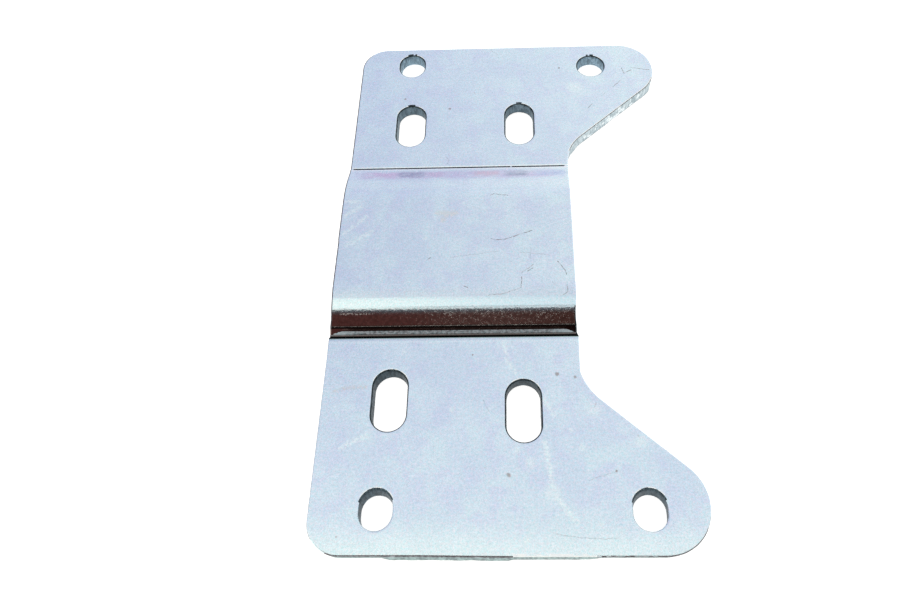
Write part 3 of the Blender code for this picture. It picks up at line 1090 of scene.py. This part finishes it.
# ---------------------------------------------------------------------- floor
FLOOR_REACH = 3.0
FLOOR_GAP = 0.0002
FLOOR_COLOUR = (0.80, 0.80, 0.80, 1.0)
FLOOR_GLOW = 0.74
floor_mesh = bpy.data.meshes.new("floor")
floor_mesh.from_pydata([(-FLOOR_REACH, -FLOOR_REACH, 0.0), (FLOOR_REACH, -FLOOR_REACH, 0.0),
                        (FLOOR_REACH, FLOOR_REACH, 0.0), (-FLOOR_REACH, FLOOR_REACH, 0.0)],
                       [], [(0, 1, 2, 3)])
floor = bpy.data.objects.new("floor", floor_mesh)
floor.location.z = -FLOOR_GAP
bpy.context.scene.collection.objects.link(floor)
paper = bpy.data.materials.new("white_floor")
paper.use_nodes = True
g = Graph(paper.node_tree)
rays = g.node("ShaderNodeLightPath").outputs
seen = g.math("ADD", rays["Is Camera Ray"], rays["Is Glossy Ray"])
seen = g.math("ADD", seen, rays["Is Transmission Ray"], clamp=True)
diffuse = g.node("ShaderNodeBsdfDiffuse")
diffuse.inputs["Color"].default_value = FLOOR_COLOUR
glow = g.node("ShaderNodeEmission")
g.put(glow.inputs["Strength"], g.math("MULTIPLY", seen, FLOOR_GLOW))
both = g.node("ShaderNodeAddShader")
g.put(both.inputs[0], diffuse.outputs[0])
g.put(both.inputs[1], glow.outputs[0])
g.put(g.node("ShaderNodeOutputMaterial").inputs[0], both.outputs[0])
floor_mesh.materials.append(paper)


# ---------------------------------------------------------------------- light
# A pale room. Tilt is the angle from straight up towards the far end, and lean
# the one towards the right, both in degrees. The room is brighter a little past
# straight above, dips in brightness further on, and changes from left to right.
# A dark figure stands at the near side. The photograph's camera sees it in the
# near web alone, but from high behind the flat faces mirror it too. Camera rays
# see plain white, and all other rays see the room.
OVERHEAD = (4.0, 11.0, 0.22, 0.0)
DIP_START = (14.0, 31.0, 0.0, -0.065)
DIP_END = (34.0, 43.0, 0.0, 0.065)
LEAN_LIMIT = 18.0
NEAR_SIDEWAYS = (13.0, 20.0, -0.0025, 0.0060)
FAR_SIDEWAYS = (25.0, 43.0, 0.0, 0.0025)
# How much of the change each of red, green and blue takes, and what the dip
# takes off blue besides
ROOM_SHARES = (1.0, 0.95, 0.50)
BLUE_DIP = 0.6
FIGURE_TOP = (-6.6, -5.2)
FIGURE_FOOT = (-44.0, -34.0)
FIGURE_SIDE = (24.0, 32.0)
HAIR_BORDER = (-12.5, -7.5)
LEFT_BORDER = (-10.0, -5.0)
RIGHT_BORDER = (0.5, 4.0)
FIGURE_HAIR = (0.110, 0.112, 0.115, 1.0)
FIGURE_LEFT = (0.102, 0.040, 0.036, 1.0)
FIGURE_MIDDLE = (0.104, 0.056, 0.050, 1.0)
FIGURE_RIGHT = (0.082, 0.040, 0.034, 1.0)
WHITE = (1.0, 1.0, 1.0, 1.0)

world = bpy.data.worlds.new("studio")
bpy.context.scene.world = world
world.use_nodes = True
g = Graph(world.node_tree)
ray = g.node("ShaderNodeTexCoord").outputs["Generated"]
parts = g.node("ShaderNodeSeparateXYZ")
g.put(parts.inputs[0], ray)
dx, dy, dz = parts.outputs
tilt = g.math("DEGREES", g.math("ARCTAN2", dy, dz))
lean = g.math("DEGREES", g.math("ARCTAN2", dx, dz))
lean = g.math("MAXIMUM", -LEAN_LIMIT, g.math("MINIMUM", LEAN_LIMIT, lean))
shift = g.ramp(tilt, *OVERHEAD, soft=False)
dip = g.math("ADD", g.ramp(tilt, *DIP_START, soft=False), g.ramp(tilt, *DIP_END, soft=False))
shift = g.math("ADD", shift, dip)
sideways = g.ramp(tilt, *NEAR_SIDEWAYS)
sideways = g.math("ADD", sideways, g.ramp(tilt, *FAR_SIDEWAYS))
shift = g.math("MULTIPLY_ADD", sideways, lean, shift)
level = g.node("ShaderNodeCombineXYZ")
for channel, share in enumerate(ROOM_SHARES):
    base = g.math("MULTIPLY_ADD", dip, BLUE_DIP, 1.0) if channel == 2 else 1.0
    g.put(level.inputs[channel], g.math("MULTIPLY_ADD", shift, share, base))
figure = g.math("MULTIPLY", g.ramp(tilt, *FIGURE_TOP, 1.0, 0.0), g.ramp(tilt, *FIGURE_FOOT))
wide = g.math("ABSOLUTE", g.math("DEGREES", g.math("ARCTAN2", dx, dz)))
figure = g.math("MULTIPLY", figure, g.ramp(wide, *FIGURE_SIDE, 1.0, 0.0))
clothes = g.mix(g.ramp(lean, *LEFT_BORDER), FIGURE_LEFT, FIGURE_MIDDLE)
clothes = g.mix(g.ramp(lean, *RIGHT_BORDER), clothes, FIGURE_RIGHT)
shade = g.mix(g.ramp(tilt, *HAIR_BORDER), clothes, FIGURE_HAIR)
room = g.mix(figure, level.outputs[0], shade)
seen = g.node("ShaderNodeLightPath").outputs["Is Camera Ray"]
back = g.node("ShaderNodeBackground")
g.put(back.inputs["Color"], g.mix(seen, room, WHITE))
back.inputs["Strength"].default_value = 1.0
g.put(g.node("ShaderNodeOutputWorld").inputs[0], back.outputs[0])


# --------------------------------------------------------------------- camera
# The photograph's frame is 900 x 600. The lens and the place come from the
# plate's own corners and holes in it.
IMAGE_WIDTH = 900.0
FOCAL_PIXELS = 658.89
CENTRE_OFFSET_PIXELS = 43.767
SENSOR_WIDTH = 36.0
CAMERA_PLACE = Vector((1.662, -126.551, 215.521))
CAMERA_TURN = Matrix(((0.9995063, 0.0128893, 0.0286518),
                      (0.0014665, 0.8918352, -0.4523581),
                      (-0.0313833, 0.4521768, 0.8913760)))
NEAREST, FARTHEST = 0.01, 20.0
camera_data = bpy.data.cameras.new("camera")
camera_data.sensor_fit = "HORIZONTAL"
camera_data.sensor_width = SENSOR_WIDTH
camera_data.lens = FOCAL_PIXELS * SENSOR_WIDTH / IMAGE_WIDTH
camera_data.shift_x = -CENTRE_OFFSET_PIXELS / IMAGE_WIDTH
camera_data.clip_start = NEAREST
camera_data.clip_end = FARTHEST
camera = bpy.data.objects.new("camera", camera_data)
camera.matrix_world = Matrix.Translation(CAMERA_PLACE * MM) @ CAMERA_TURN.to_4x4()
bpy.context.scene.collection.objects.link(camera)
bpy.context.scene.camera = camera
bpy.context.scene.view_settings.view_transform = "Standard"
